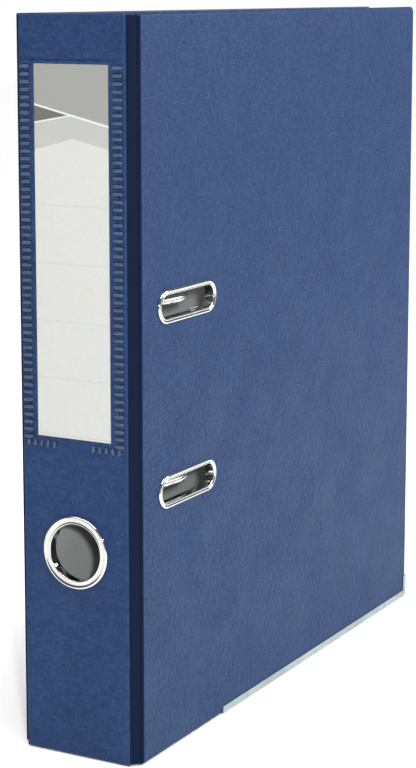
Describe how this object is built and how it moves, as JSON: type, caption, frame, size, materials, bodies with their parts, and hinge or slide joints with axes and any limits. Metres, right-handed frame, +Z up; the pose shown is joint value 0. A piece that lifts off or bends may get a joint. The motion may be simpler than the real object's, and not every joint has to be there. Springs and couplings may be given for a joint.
{
  "type": "lever arch file",
  "caption": "Upright lever arch file for punched A4 sheets: hinged covers and spine, steel rails, finger ring, label pocket and a two-ring lever mechanism with compressor bar.",
  "frame": {"origin": "on the table, under the middle of the shut file's bounding box", "axes": "+Z up along the spine, +Y from the spine to the fore edge, +X from the back cover to the front cover"},
  "size_m": [0.0608, 0.286, 0.318],
  "materials": {
    "grey_board": "pressed grey board",
    "cover_film": "fine linen-embossed polypropylene film",
    "hinge_film": "pressed polypropylene film, satin",
    "lining_paper": "matt grey paper",
    "rail_steel": "satin zinc plate",
    "nickel_rim": "bright nickel plate",
    "backing_steel": "satin zinc plate",
    "plated_steel": "bright nickel plate",
    "rivet_steel": "satin nickel plate",
    "clear_pocket": "clear polypropylene film",
    "label_card": "printed card",
    "black_plastic": "fine moulded texture",
    "roller_plastic": "turned nylon"
  },
  "bodies": {
    "back_cover": {"back_board": "grey_board", "back_film": "cover_film", "back_lining": "lining_paper", "back_rail": "rail_steel", "base_plate": "plated_steel", "post_upper": "plated_steel", "post_lower": "plated_steel", "plate_rivets": "rivet_steel", "lever_pivot_pin": "plated_steel"},
    "spine": {"spine_board": "grey_board", "spine_film": "cover_film", "spine_lining": "lining_paper", "front_hinge_film": "hinge_film", "back_hinge_film": "hinge_film", "finger_ring": "nickel_rim", "finger_ring_backing": "backing_steel", "label_pocket": "clear_pocket", "label_card": "label_card"},
    "front_cover": {"front_board": "grey_board", "front_film": "cover_film", "front_lining": "lining_paper", "front_rail": "rail_steel", "slot_rim_upper": "nickel_rim", "slot_rim_lower": "nickel_rim", "slot_backing_upper": "backing_steel", "slot_backing_lower": "backing_steel"},
    "arches": {"arch_bracket": "plated_steel"},
    "lever": {"lever_arm": "plated_steel", "lever_grip": "black_plastic", "roller_pin": "plated_steel"},
    "roller": {"lever_roller": "roller_plastic"},
    "compressor": {"compressor_bar": "plated_steel", "compressor_clips": "black_plastic"}
  },
  "joints": [
    {"name": "back_hinge", "type": "hinge", "parent": "back_cover", "child": "spine", "pos_m": [-0.02863, -0.14, 0.159], "axis": [0, 0, -1], "range_deg": [0, 97], "deforming": ["back_hinge_film"]},
    {"name": "front_hinge", "type": "hinge", "parent": "spine", "child": "front_cover", "pos_m": [0.02737, -0.14, 0.159], "axis": [0, 0, -1], "range_deg": [0, 180], "deforming": ["front_hinge_film"]},
    {"name": "lever_swing", "type": "hinge", "parent": "back_cover", "child": "lever", "pos_m": [-0.01592, -0.09924, 0.1775], "axis": [-0.1219, -0.9925, 0], "range_deg": [0, 75]},
    {"name": "arch_swing", "type": "hinge", "parent": "back_cover", "child": "arches", "pos_m": [-0.02098, -0.11172, 0.1555], "axis": [0, 0, -1], "range_deg": [0, 28]},
    {"name": "roller_spin", "type": "hinge", "parent": "lever", "child": "roller", "pos_m": [-0.01413, -0.09946, 0.1595], "axis": [0.1219, 0.9925, 0], "continuous": true},
    {"name": "compressor_slide", "type": "slide", "parent": "back_cover", "child": "compressor", "axis": [0.9925, -0.1219, 0], "range_m": [0, 0.015]}
  ],
  "couplings": [
    {"joint": "arch_swing", "follows": "lever_swing", "ratio": 0.37333}
  ]
}
